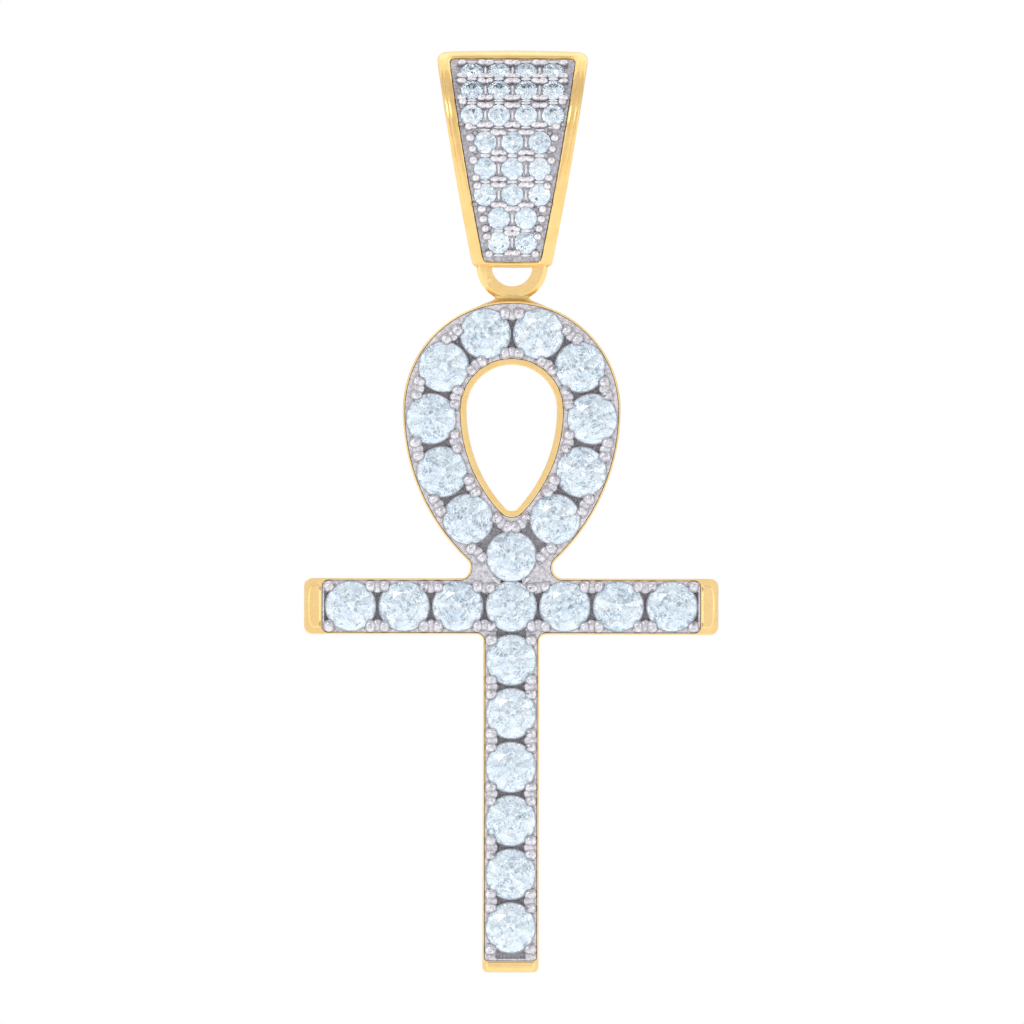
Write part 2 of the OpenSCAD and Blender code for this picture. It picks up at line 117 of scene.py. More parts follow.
# Painted shade: a dark line where claws and beads rise from the setting, and how much of its own
# tone a claw or bead shows over it, from its root (0) to its top (1)
PAINTED_ROOT_SHADE = srgb(144, 142, 149)
ROOT_SHADE_FADE = ((0.0, 0.0), (1.0, 1.0), (0.42, 0.1), (0.6, 1.0))
METAL_RISE = (0.55, 0.85)
PLAIN_RISE = 0.7
# The same painted shade on the setting: how far before its face it starts and ends
ROOT_START = 0.12 * MM
ROOT_END = 0.03 * MM
# Depth over which the setting's tone turns to the painted shade of the recess, and one that the
# bail's never reaches
RECESS_DEPTH = 0.5 * MM
NO_RECESS = 10 * MM
# Grain of each metal: cycles in a metre, depth of its relief, and its two roughnesses
SOLDER_GRAIN = (8000.0, 0.02 * MM, (0.4, 0.6))
GOLD_GRAIN = (9000.0, 0.001 * MM, (0.14, 0.22))
PLATE_GRAIN = (14000.0, 0.03 * MM, (0.28, 0.48))
CLAW_GRAIN = (5000.0, 0.012 * MM, (0.6, 0.2))
# Coarser clouding of the gold and mottling of the setting, in cycles in a metre
GOLD_CLOUD = 1200.0
PLATE_MOTTLE = 6500.0

STONE = srgb(247, 251, 254)
STONE_IOR = 2.16
# Painted flashes in the stones: the pavilion's tone is painted per cell, some darker, some white;
# cells in a metre, and their tones by how common they are
FLASHES = 5000.0
PAINTED_FLASH_TONES = ((0.0, srgb(190, 203, 213)), (0.08, srgb(230, 239, 246)),
               (0.3, srgb(240, 246, 251)), (0.6, srgb(246, 250, 254)),
               (0.85, srgb(255, 255, 255)))

# The floor: colour, glow, and in metres how far below the pendant it is and its radius
PAPER = srgb(252, 252, 252)
PAPER_GLOW = 0.16
FLOOR_DROP = 0.03
FLOOR_RADIUS = 2.0

# Brightness of the room by direction, from the camera's side (0) round to behind the object (1),
# at eye level and overhead; between which heights it changes over; and its soft clouds
WORLD_TONES = ((0.0, 0.88), (1.0, 1.0), (0.1, 0.95), (0.28, 1.45), (0.45, 1.35), (0.62, 0.5),
               (0.78, 0.6))
OVERHEAD_TONES = ((0.0, 0.86), (1.0, 1.4), (0.5, 0.8), (0.6, 1.35))
OVERHEAD = (0.3, 0.7)
ROOM_CLOUDS = 6.0
ROOM_CLOUD_TONES = (0.8, 1.2)

# The softbox: in metres its place, what it is aimed at and its side, and its power
KEY_PLACE = Vector((-0.35, -0.6, 0.45))
KEY_TARGET = Vector((0, 0, -0.025))
KEY_SIDE = 0.22
KEY_POWER = 0.5

# How the solids' edges are rounded, in millimetres and degrees: points nearer than WELD are one,
# faces that turn less than FLAT are one, and edges of more than CORNER are rounded
WELD = 0.0005
FLAT = 0.5
CORNER = 30
SHARP = 35
BODY_EDGE = 0.05
BAIL_EDGE = 0.04

# The bail in millimetres: its foot's level and its height
BAIL_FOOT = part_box("bail_frame")[0].z / MM
BAIL_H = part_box("bail_frame")[1].z / MM - BAIL_FOOT
# Its front from the foot up: a gentle lower curve, a straight stretch, an upper curve, the crest
# and the back
LOW_R = 25.0
LOW_H = 6.253
UPPER_R = 5.0
UPPER_Z = 7.253
CREST_START = math.radians(65)
CREST_R = 3.0
BACK_R = 2.35
FRONT_Y = -(UPPER_R * (1 - math.cos(CREST_START)) + CREST_R * math.cos(CREST_START))
# Its outline from the front: half widths at foot and head, the sides' bulge, and the radius of
# the corners outside and inside its rim
FOOT_HALF = 2.2
HEAD_HALF = 4.27
SIDE_BULGE = 0.11
CORNER_R = 0.42
FIELD_CORNER_R = 0.25
# Width of its gold rim at the sides, the foot and the head, how much the foot's corners lie
# higher than its middle, how much the head bows out, and the height over which both fade
RIM = (0.68, 0.31, 0.36)
FOOT_LIFT = 0.13
HEAD_BOW = 0.11
BOW_FADE = 0.9
# Section across that rim: distance in from the side, and height above the bail's front
MOULDING = ((0.006, -0.02), (0.012, 0.005), (0.035, 0.03), (0.08, 0.058), (0.15, 0.078),
            (0.22, 0.088), (0.24, 0.088), (0.262, 0.078), (0.284, 0.092), (0.33, 0.104),
            (0.42, 0.114), (0.5, 0.114), (0.57, 0.1), (0.63, 0.076), (0.665, 0.04),
            (0.675, 0.0), (0.675, -0.3))
# Its outer wall: distance in from the side, lowest level and top; a ring below SUNK isn't bowed
WALL_IN = 0.006
UNDER = -0.3
WALL_TOP = -0.03
SUNK = -0.1
# Angle that the rim's upper edge runs on over the crest
OVER_CREST = math.radians(24)
# Steps along each corner and each half end of the rim, and along a side
END_STEPS = 8
SIDE_STEPS = 60

# Claws that hold the main stones: radii, how far they stand back from the stone, how much turn
# and size vary, the least distance between two tips, and how deep below the highest a tip's
# points are looked for
CLAW = (0.34 * MM, 0.3 * MM, 0.4 * MM)
CLAW_BACK = 0.07 * MM
CLAW_TURN = 0.12
CLAW_WIDTHS = (0.92, 1.08)
CLAW_HEIGHTS = (0.9, 1.05)
CLAW_APART = 0.23 * MM
CLAW_TOP = 0.02 * MM
# Shoulder behind each claw: its place from the claw's middle and its radii
SHOULDER_BACK = 0.18 * MM
SHOULDER = (0.15 * MM, 0.36 * MM, 0.15 * MM)
# Web of metal between the two claws of a pair: its radii, and how far apart the claws can be
WEB = (0.32 * MM, 0.32 * MM, 0.2 * MM)
PAIR = 0.85 * MM
# Bridges of metal in the two upper corners of the crossing: place from the crossing's middle in
# millimetres, and radii
CORNER_BRIDGE = (0.86, 1.45)
BRIDGE = (0.34 * MM, 0.13 * MM, 0.12 * MM)

# Beads round a small stone: their place beside its middle, across and along the bail, their
# radii, and how much their turn and size vary
BEAD_ACROSS = 0.56 * MM
BEAD_ALONG = 0.56 * MM
BEAD = (0.29 * MM, 0.19 * MM, 0.26 * MM)
BEAD_TURN = 0.3
BEAD_SIZES = (0.88, 1.1)
# Low ridge between two neighbours of a row, and bar between two rows: their radii
RIDGE = (0.08 * MM, 0.34 * MM, 0.08 * MM)
BAR = (0.3 * MM, 0.08 * MM, 0.08 * MM)
# How much the levels of a row's stones may differ, and how far apart neighbours can be
ROW_LEVEL = 0.1 * MM
NEIGHBOUR = 2 * MM
# Beads of the margin, and their places below LOWER_ROWS in millimetres: distance from the
# bail's middle and height above its foot
MARGIN_BEAD = (0.245 * MM, 0.23 * MM, 0.25 * MM)
MARGIN_SIZES = (0.92, 1.1)
MARGIN_BEADS = ((1.29, 0.77), (1.41, 1.74), (1.5, 2.19), (1.62, 2.72), (1.7, 3.28), (1.96, 4.57),
                (2.04, 5.02), (2.17, 6.0), (2.23, 6.64), (2.36, 7.26), (2.44, 7.9), (2.79, 9.25))
LOWER_ROWS = 9.5

# Raised pads on the end blocks, in millimetres from the front: how far in from the block's outer
# end and from the middle, for a half outline that is mirrored about the middle; first the pad's
# foot, then its flat face
ARM_PAD = ((0.22, 0.0), (0.23, 0.45), (0.28, 0.85), (0.38, 1.1), (0.52, 1.19), (0.66, 1.2),
           (0.84, 1.2), (0.9, 1.13), (0.925, 0.9), (0.925, 0.45), (0.925, 0.0))
ARM_FACE = ((0.3, 0.0), (0.31, 0.45), (0.35, 0.82), (0.44, 1.04), (0.54, 1.11), (0.66, 1.12),
            (0.77, 1.12), (0.82, 1.06), (0.835, 0.88), (0.835, 0.45), (0.835, 0.0))
FOOT_PAD = ((0.04, 0.0), (0.04, 0.5), (0.05, 0.95), (0.08, 1.24), (0.16, 1.34), (0.32, 1.36),
            (0.48, 1.35), (0.55, 1.27), (0.565, 1.0), (0.565, 0.5), (0.565, 0.0))
FOOT_FACE = ((0.26, 0.0), (0.26, 0.5), (0.26, 0.92), (0.27, 1.14), (0.3, 1.23), (0.37, 1.26),
             (0.45, 1.25), (0.515, 1.19), (0.535, 0.98), (0.535, 0.5), (0.535, 0.0))
# Height of the pads above the blocks, of the upright part of their sides, and of the solid's own
# plain pads, which are flattened; how far in the face's last ring lies; points for each corner of
# an outline; and the least angle of an edge that stays sharp
PAD_RISE = 0.105
PAD_WALL = 0.05
CAD_PAD = 0.1
FACE_INSET = 0.04
PAD_STEPS = 8
PAD_SHARP = 10

# Bright edge of a main stone's seat: half width and half depth in millimetres, and its points
SEAT_RIM = (0.035, 0.035)
SEAT_POINTS = 72
TUBE_SIDES = 12

# Solder between ring and loop in millimetres: level from the loop's top, half width and half
# depth; how full its section is; and the ring's width and how deep it is sunk in the loop
SOLDER = ((0.45, 1.06, 0.36), (0.34, 1.03, 0.38), (0.26, 0.985, 0.4), (0.196, 0.952, 0.42),
          (0.14, 0.963, 0.46), (0.084, 1.03, 0.52), (0.028, 1.142, 0.62), (-0.028, 1.288, 0.74),
          (-0.084, 1.456, 0.85), (-0.162, 1.652, 0.96), (-0.246, 1.837, 1.04),
          (-0.33, 1.988, 1.08), (-0.44, 2.1, 1.1))
SOLDER_POINTS = 64
SOLDER_POWER = 0.7
RING_ACROSS = 4.0
RING_SINK = 0.02

# A direction in which no two points or faces of a round block lie equally far
ODD_WAY = Vector((1.0, 2.3, 5.7))


class Network:
    """The shader nodes of a material or of the world, with short calls that add and link them."""

    def __init__(self, tree):
        self.tree = tree
        self.place = None

    def link(self, value, socket):
        """Links an output to a socket."""
        self.tree.links.new(value, socket)

    def add(self, kind, **settings):
        """Adds a node; each setting is the value of one of its inputs or properties."""
        node = self.tree.nodes.new(kind)
        for key, value in settings.items():
            if key in node.inputs:
                node.inputs[key].default_value = value
            else:
                setattr(node, key, value)
        return node

    def coordinates(self, kind):
        """Coordinates of a kind, such as Object for the piece's own."""
        if self.place is None:
            self.place = self.add("ShaderNodeTexCoord")
        return self.place.outputs[kind]

    def axes(self, kind):
        """A node that splits the coordinates of a kind into X, Y and Z."""
        split = self.add("ShaderNodeSeparateXYZ")
        self.link(self.coordinates(kind), split.inputs["Vector"])
        return split

    def noise(self, scale, detail=3.0, kind="Object"):
        """Noise with scale in cycles for each unit of the coordinates."""
        texture = self.add("ShaderNodeTexNoise", Scale=scale, Detail=detail)
        self.link(self.coordinates(kind), texture.inputs["Vector"])
        return texture.outputs["Fac"]

    def spread(self, value, low, high, start=0.35, end=0.65):
        """Maps a value from start to end, which suit a noise, to the range from low to high."""
        node = self.add("ShaderNodeMapRange", **{"From Min": start, "From Max": end,
                                                 "To Min": low, "To Max": high})
        self.link(value, node.inputs["Value"])
        return node.outputs["Result"]

    def ramp(self, value, tones, interpolation="LINEAR"):
        """Colours by a value, each (position, colour or grey); a linear ramp's ends come first."""
        node = self.add("ShaderNodeValToRGB")
        node.color_ramp.interpolation = interpolation
        stops = node.color_ramp.elements
        for i, (at, tone) in enumerate(tones):
            stop = stops[i] if i < 2 else stops.new(at)
            stop.position = at
            stop.color = tone if isinstance(tone, tuple) else (tone, tone, tone, 1)
        self.link(value, node.inputs["Fac"])
        return node.outputs["Color"]

    def two_tone(self, value, low, high):
        """Mixes two colours, given as numbers or as sockets, by a value from 0 to 1."""
        mix = self.add("ShaderNodeMix", data_type="RGBA")
        for socket, colour in ((mix.inputs[6], low), (mix.inputs[7], high)):
            if isinstance(colour, tuple):
                socket.default_value = colour
            else:
                self.link(colour, socket)
        self.link(value, mix.inputs[0])
        return mix.outputs[2]

    def mottled(self, value, low, high):
        """Mixes two colours by a noise."""
        return self.two_tone(self.spread(value, 0.0, 1.0), low, high)

    def bump(self, shader, height, depth):
        """Fine relief, depth metres deep, on the shader's normal."""
        node = self.add("ShaderNodeBump", Strength=1.0, Distance=depth)
        self.link(height, node.inputs["Height"])
        self.link(node.outputs["Normal"], shader.inputs["Normal"])


def new_material(name, **settings):
    """A material, its network and its Principled shader, whose inputs take the settings."""
    material = bpy.data.materials.new(name)
    material.use_nodes = True
    shader = material.node_tree.nodes["Principled BSDF"]
    for key, value in settings.items():
        shader.inputs[key].default_value = value
    return material, Network(material.node_tree), shader


def solder_material():
    """Dull gold of the solder, brushed by hand."""
    material, net, shader = new_material("dull_gold", Metallic=1.0)
    cycles, depth, roughness = SOLDER_GRAIN
    grain = net.noise(cycles)
    net.link(net.mottled(grain, SOLDER_DARK, SOLDER_GOLD), shader.inputs["Base Color"])
    net.link(net.spread(grain, *roughness), shader.inputs["Roughness"])
    net.bump(shader, grain, depth)
    return material


def gold_material(name, deep, light):
    """Polished gold, in slightly clouded tones."""
    material, net, shader = new_material(name, Metallic=1.0)
    cycles, depth, roughness = GOLD_GRAIN
    cloud = net.noise(GOLD_CLOUD)
    grain = net.noise(cycles)
    net.link(net.mottled(cloud, deep, light), shader.inputs["Base Color"])
    net.link(net.spread(grain, *roughness), shader.inputs["Roughness"])
    net.bump(shader, grain, depth)
    return material


def plate_material(name, dark, light, front, fade, root_shade_painted):
    """Satin white metal, mottled and grainy. Along Y it turns over fade from front on to a slightly
    darker tone, painted shade of the recess; and where asked, painted shade, dark and not metallic,
    lies at the roots of the claws, before front."""
    material, net, shader = new_material(name, Metallic=1.0)
    cycles, depth, roughness = PLATE_GRAIN
    mottle = net.noise(PLATE_MOTTLE, 4.0)
    grain = net.noise(cycles)
    level = net.axes("Object").outputs["Y"]
    top = net.mottled(mottle, dark, light)
    # Painted shade of the recess: a slightly darker grainy tone, used deeper than front
    deep = net.two_tone(net.spread(grain, 0.0, 1.0, 0.4, 0.6), SHADED_RECESS_DARK, SHADED_RECESS)
    tone = net.two_tone(net.spread(level, 1.0, 0.0, front, front + fade), deep, top)
    # Painted shade where the claws rise: dark and not metallic before the face
    if root_shade_painted:
        root = net.spread(level, 0.0, 1.0, front - ROOT_START, front - ROOT_END)
        tone = net.two_tone(root, PAINTED_ROOT_SHADE, tone)
        net.link(root, shader.inputs["Metallic"])
    net.link(tone, shader.inputs["Base Color"])
    net.link(net.spread(grain, *roughness), shader.inputs["Roughness"])
    both = net.add("ShaderNodeMath", operation="ADD")
    net.link(mottle, both.inputs[0])
    net.link(grain, both.inputs[1])
    net.bump(shader, both.outputs[0], depth)
    return material


def claw_material(name, dark, light):
    """Burnished white metal of the claws and beads, dull at their roots, where painted shade
    darkens them.
    """
    material, net, shader = new_material(name)
    cycles, depth, roughness = CLAW_GRAIN
    mottle = net.noise(cycles)
    rise = net.add("ShaderNodeAttribute", attribute_name="rise").outputs["Fac"]
    # How much of its own tone shows over the painted root shade, by height on the dome
    own = net.ramp(rise, ROOT_SHADE_FADE)
    tone = net.two_tone(own, PAINTED_ROOT_SHADE, net.mottled(mottle, dark, light))
    net.link(tone, shader.inputs["Base Color"])
    net.link(net.spread(rise, 0.0, 1.0, *METAL_RISE), shader.inputs["Metallic"])
    net.link(net.spread(own, *roughness, 0.0, 1.0), shader.inputs["Roughness"])
    net.bump(shader, mottle, depth)
    return material


def stone_material():
    """The clear stone."""
    return new_material("pale_brilliant", **{
        "Base Color": STONE, "Roughness": 0.0, "IOR": STONE_IOR, "Transmission Weight": 1.0})[0]


def stone_back_material():
    """A mirror behind the pavilion with painted flashes: its tone is painted darker or white in
    small cells, as a well cut stone flashes.
    """
    material, net, shader = new_material("pavilion_painted_flashes", Metallic=1.0, Roughness=0.04)
    cells = net.add("ShaderNodeTexVoronoi", Scale=FLASHES)
    net.link(net.coordinates("Object"), cells.inputs["Vector"])
    red = net.add("ShaderNodeSeparateColor")
    net.link(cells.outputs["Color"], red.inputs["Color"])
    # Painted flashes: each cell gets its own tone, from dark to white
    tone = net.ramp(red.outputs[0], PAINTED_FLASH_TONES, "CONSTANT")
    net.link(tone, shader.inputs["Base Color"])
    return material


def paper_material():
    """The white floor."""
    return new_material("white_paper", **{
        "Base Color": PAPER, "Roughness": 0.9, "Emission Color": PAPER,
        "Emission Strength": PAPER_GLOW})[0]


def made_mesh(mesh, name):
    """Mesh data from a bmesh, which is freed."""
    made = bpy.data.meshes.new(name)
    mesh.to_mesh(made)
    mesh.free()
    return made


def add_piece(name, mesh, body, materials):
    """Links a mesh as a piece that rides on a body."""
    piece = bpy.data.objects.new(name, mesh)
    bpy.context.scene.collection.objects.link(piece)
    for material in materials:
        mesh.materials.append(material)
    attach(piece, body)
    return piece


def dress(node, material):
    """Gives a CAD node its finish."""
    piece = NODES[node]
    piece.data.materials.clear()
    piece.data.materials.append(material)


def cut_plane(mesh, slope, azimuth, radius, height):
    """Cuts away what lies outside a facet's plane through (radius, height), sloping by slope
    degrees."""
    slope, azimuth = math.radians(slope), math.radians(azimuth)
    across = Vector((math.cos(azimuth), math.sin(azimuth), 0))
    up = Vector((0, 0, math.copysign(math.cos(slope), slope)))
    parts = mesh.verts[:] + mesh.edges[:] + mesh.faces[:]
    bmesh.ops.bisect_plane(
        mesh, geom=parts, dist=1e-7, plane_co=across * radius + Vector((0, 0, height)),
        plane_no=across * math.sin(abs(slope)) + up, clear_outer=True)
    close_convex(mesh)


def close_convex(mesh):
    """Closes a convex mesh again: the hull of its corners, with flat facets."""
    corners = [v.co.copy() for v in mesh.verts]
    mesh.clear()
    for corner in corners:
        mesh.verts.new(corner)
    bmesh.ops.remove_doubles(mesh, verts=mesh.verts, dist=1e-5)
    bmesh.ops.convex_hull(mesh, input=mesh.verts)
    bmesh.ops.dissolve_limit(mesh, angle_limit=math.radians(0.05), verts=mesh.verts,
                             edges=mesh.edges)


def brilliant_mesh(name):
    """Round brilliant of radius 1, its girdle in the XY plane and its table towards +Z."""
    mesh = bmesh.new()
    bmesh.ops.create_cone(mesh, cap_ends=True, segments=GIRDLE_SIDES, radius1=1, radius2=1, depth=2)
    crown_slope = math.degrees(math.atan(CROWN / (1 - TABLE)))
    pavilion_slope = math.degrees(math.atan(PAVILION))
    half_chord = math.cos(math.radians(MAIN_TURN / 4))
    table_chord = TABLE * math.cos(math.radians(MAIN_TURN / 2))
    cut_plane(mesh, 0.001, 0, 0, HALF_GIRDLE + CROWN)
    for i in range(MAIN_FACETS):
        turn = MAIN_TURN * i
        cut_plane(mesh, crown_slope, turn, 1, HALF_GIRDLE)
        cut_plane(mesh, STAR_SLOPE, turn + MAIN_TURN / 2, table_chord, HALF_GIRDLE + CROWN)
        cut_plane(mesh, -pavilion_slope, turn, 1, -HALF_GIRDLE)
    for i in range(2 * MAIN_FACETS):
        turn = MAIN_TURN / 2 * i + MAIN_TURN / 4
        cut_plane(mesh, UPPER_SLOPE, turn, half_chord, HALF_GIRDLE)
        cut_plane(mesh, -LOWER_SLOPE, turn, half_chord, -HALF_GIRDLE)
    bmesh.ops.recalc_face_normals(mesh, faces=mesh.faces)
    for face in mesh.faces:
        face.material_index = 1 if face.normal.z < 0.1 else 0
    return made_mesh(mesh, name)


def stone_size(node):
    """The middle of a main stone's box, its radius and its lowest Y, which is its table's."""
    low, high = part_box(node)
    return (low + high) / 2, (high.x - low.x) / 2, low.y


def main_stones(cut, materials, rng):
    """A fine brilliant in place of each main stone, turned at random about its axis."""
    for node in STONES:
        middle, radius, table_y = stone_size(node)
        centre = Vector((middle.x, table_y + (HALF_GIRDLE + CROWN) * radius, middle.z))
        stand = Matrix.Rotation(math.radians(90), 4, "X")
        spin = Matrix.Rotation(rng.uniform(0, 2 * math.pi), 4, "Z")
        mesh = cut.copy()
        mesh.transform(Matrix.Translation(centre) @ stand @ spin @ Matrix.Scale(radius, 4))
        piece = add_piece("cut_" + node, mesh, "ankh", materials)
        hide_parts(node)


def loose_parts(node):
    """The corners of each separate solid of a node, and the normal of its largest flat face. The
    solids and their corners come in the mesh's own order, which is the same in each run."""
    mesh = bmesh.new()
    mesh.from_mesh(NODES[node].data)
    bmesh.ops.remove_doubles(mesh, verts=mesh.verts, dist=1e-7)
    mesh.verts.index_update()
    seen = set()
    parts = []
    for first in mesh.verts:
        if first in seen:
            continue
        seen.add(first)
        found = [first]
        for vert in found:
            for edge in vert.link_edges:
                other = edge.other_vert(vert)
                if other not in seen:
                    seen.add(other)
                    found.append(other)
        found.sort(key=lambda vert: vert.index)
        areas = {}
        for face in dict.fromkeys(f for v in found for f in v.link_faces):
            key = tuple(round(c, 2) for c in face.normal)
            areas[key] = areas.get(key, 0) + face.calc_area()
        table = Vector(max(areas, key=areas.get)).normalized()
        parts.append(([v.co.copy() for v in found], table))
    mesh.free()
    return parts


def small_seats():
    """Place and radius of each small stone: +Z is its table's normal, +X runs across the bail."""
    seats = []
    for corners, table in loose_parts("bail_stones"):
        heights = [c.dot(table) for c in corners]
        top = max(heights)
        radius = (top - min(heights)) / (CROWN + PAVILION + 2 * HALF_GIRDLE)
        centre = sum(corners, Vector()) / len(corners)
        centre += table * (top - (HALF_GIRDLE + CROWN) * radius - centre.dot(table))
        across = Vector((1, 0, 0))
        turn = Matrix((across, table.cross(across), table)).transposed().to_4x4()
        seats.append((Matrix.Translation(centre) @ turn, radius))
    return seats


def pave_stones(cut, materials, rng):
    """The field of small brilliants in the bail, as one piece."""
    field = bmesh.new()
    for place, radius in small_seats():
        spin = Matrix.Rotation(rng.uniform(0, 2 * math.pi), 4, "Z")
        mesh = cut.copy()
        mesh.transform(place @ spin @ Matrix.Scale(radius, 4))
        field.from_mesh(mesh)
        bpy.data.meshes.remove(mesh)
    piece = add_piece("pave_stones", made_mesh(field, "pave_stones"), "bail", materials)
    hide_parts("bail_stones")


def sharp_edges(mesh, least):
    """Edges where two faces meet at more than least degrees."""
    return [e for e in mesh.edges
            if len(e.link_faces) == 2 and e.calc_face_angle(0) > math.radians(least)]


def smooth_but_sharp(mesh, least):
    """Smooth shading, apart from edges of more than least degrees."""
    for face in mesh.faces:
        face.smooth = True
    for edge in sharp_edges(mesh, least):
        edge.smooth = False


def finished(node, name, body, material, width, shift):
    """A smooth gold piece in place of a CAD node, worked in millimetres: each vertex is moved by
    shift, and the edges are rounded by width."""
    mesh = bmesh.new()
    mesh.from_mesh(NODES[node].data)
    mesh.transform(Matrix.Scale(1 / MM, 4))
    bmesh.ops.remove_doubles(mesh, verts=mesh.verts, dist=WELD)
    for vert in mesh.verts:
        vert.co += shift(vert.co)
    mesh.normal_update()
    bmesh.ops.dissolve_limit(mesh, angle_limit=math.radians(FLAT), verts=mesh.verts,
                             edges=mesh.edges)
    bmesh.ops.bevel(mesh, geom=sharp_edges(mesh, CORNER), offset=width, offset_type="OFFSET",
                    segments=2, profile=0.5, affect="EDGES", clamp_overlap=False)
    smooth_but_sharp(mesh, SHARP)
    mesh.transform(Matrix.Scale(MM, 4))
    piece = add_piece(name, made_mesh(mesh, name), body, [material])
    shade = piece.modifiers.new("shade", "WEIGHTED_NORMAL")
    shade.keep_sharp = True
    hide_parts(node)


def side_x(height):
    """Half width of the bail at a height above its foot, in millimetres."""
    up = height / BAIL_H
    return FOOT_HALF + (HEAD_HALF - FOOT_HALF) * up + 4 * SIDE_BULGE * up * (1 - up)


def share_of(value, whole):
    """A value as a share of a whole, kept between 0 and 1."""
    return min(1.0, max(0.0, value / whole))


def foot_lift(x, height):
    """How much higher the bowed foot lies at x than at its middle, in millimetres; it fades
    upwards."""
    return FOOT_LIFT * (x / FOOT_HALF) ** 2 * share_of(BOW_FADE - height, BOW_FADE)


def bail_front(x, height, lift, beyond=0.0):
    """A point on the bail's front, lift outwards and beyond radians further up, all in
    millimetres."""
    crest_z = BAIL_H - CREST_R
    if height < LOW_H:
        tilt, y, z, r = math.asin((height - LOW_H) / LOW_R), FRONT_Y + LOW_R, LOW_H, LOW_R
    elif height < UPPER_Z:
        tilt, y, z, r = 0.0, FRONT_Y, height, 0.0
    elif height < UPPER_Z + UPPER_R * math.sin(CREST_START):
        tilt = math.asin((height - UPPER_Z) / UPPER_R)
        y, z, r = FRONT_Y + UPPER_R, UPPER_Z, UPPER_R
    else:
        tilt = math.asin(min(1.0, (height - crest_z) / CREST_R))
        y, z, r = 0.0, crest_z, CREST_R
    tilt += beyond
    if tilt > math.pi / 2:
        z, r = BAIL_H - BACK_R, BACK_R
    out = r + lift
    return Vector((x, y - out * math.cos(tilt), BAIL_FOOT + z + out * math.sin(tilt)))


def arc(corner, start, end):
    """Points of a circle's arc from start to end, whose tangents there meet at corner."""
    half = (start - corner).angle(end - corner) / 2
    weight = math.sin(half)
    points = []
    for i in range(END_STEPS + 1):
        t = i / END_STEPS
        shares = ((1 - t) ** 2, 2 * weight * t * (1 - t), t ** 2)
        point = start * shares[0] + corner * shares[1] + end * shares[2]
        points.append(point / sum(shares))
    return points


def rim_half(inset):
    """Half of a line round the bail's rim, inset in from its side: (x, height) from the foot's
    middle up to the head's."""
    share = inset / RIM[0]
    side, foot, head = (share * width for width in RIM)
    radius = CORNER_R + (FIELD_CORNER_R - CORNER_R) * share
    low = Vector((side_x(foot) - side, foot))
    high = Vector((side_x(BAIL_H - head) - side, BAIL_H - head))
    lean = math.atan2(side_x(foot + radius) - side_x(foot), radius)
    cut = radius / math.tan((math.pi / 2 + lean) / 2)
    side_low = Vector((side_x(foot + cut) - side, foot + cut * math.cos(lean)))
    half = [Vector((i / END_STEPS * (low.x - cut), foot)) for i in range(END_STEPS)]
    half += arc(low, low - Vector((cut, 0)), side_low)
    lean = math.atan2(side_x(high.y) - side_x(high.y - radius), radius)
    cut = radius / math.tan((math.pi / 2 - lean) / 2)
    side_high = Vector((side_x(high.y - cut) - side, high.y - cut * math.cos(lean)))
    for i in range(1, SIDE_STEPS):
        height = side_low.y + (side_high.y - side_low.y) * i / SIDE_STEPS
        half.append(Vector((side_x(height) - side, height)))
    half += arc(high, side_high, high - Vector((cut, 0)))
    half += [Vector(((1 - i / END_STEPS) * (high.x - cut), high.y)) for i in range(1, END_STEPS)]
    half.append(Vector((0, high.y)))
    return half


def rim_ring(inset, lift, over=0.0):
    """Points round the bail's rim, inset in from its side and lift above its front; its upper
    corners and head run on by over radians."""
    half = rim_half(inset)
    ring = []
    for sign in (1, -1):
        for point in half if sign > 0 else half[-2:0:-1]:
            corner = share_of(point.y - BAIL_H + CORNER_R, CORNER_R)
            if over:
                rise = UNDER * (1 - corner) + lift * corner
            elif lift < SUNK:
                rise = lift
            else:
                bow = 1 - (point.x / HEAD_HALF) ** 2
                rise = lift + HEAD_BOW * bow * share_of(point.y - BAIL_H + BOW_FADE, BOW_FADE) ** 2
            height = point.y + foot_lift(point.x, point.y)
            ring.append(bail_front(sign * point.x, height, rise, over * corner))
    return ring


def bail_border(material):
    """The domed gold moulding round the bail's front."""
    rings = [rim_ring(WALL_IN, UNDER, OVER_CREST), rim_ring(WALL_IN, WALL_TOP, OVER_CREST)]
    rings += [rim_ring(inset, lift) for inset, lift in MOULDING]
    lofted("gold_border", rings, True, "bail", material, SHARP)


def lofted(name, rings, around, body, material, sharp):
    """A smooth closed gold piece through rings of points in millimetres, joined end to end or
    capped; its edges of more than sharp degrees stay sharp."""
    mesh = bmesh.new()
    rows = [[mesh.verts.new(point * MM) for point in ring] for ring in rings]
    count = len(rows[0])
    for i in range(len(rows) if around else len(rows) - 1):
        row, other = rows[i], rows[(i + 1) % len(rows)]
        for k in range(count):
            nxt = (k + 1) % count
            mesh.faces.new((row[k], row[nxt], other[nxt], other[k]))
    if not around:
        mesh.faces.new(rows[0])
        mesh.faces.new(rows[-1])
    bmesh.ops.recalc_face_normals(mesh, faces=mesh.faces)
    smooth_but_sharp(mesh, sharp)
    add_piece(name, made_mesh(mesh, name), body, [material])


def smooth_path(corners):
    """A closed smooth path through corners, with PAD_STEPS points for each of them."""
    path = []
    count = len(corners)
    for i in range(count):
        a, b, c, d = (corners[(i + k) % count] for k in (-1, 0, 1, 2))
        for k in range(PAD_STEPS):
            t = k / PAD_STEPS
            path.append(0.5 * (2 * b + (c - a) * t + (2 * a - 5 * b + 4 * c - d) * t ** 2
                               + (3 * b - a - 3 * c + d) * t ** 3))
    return path


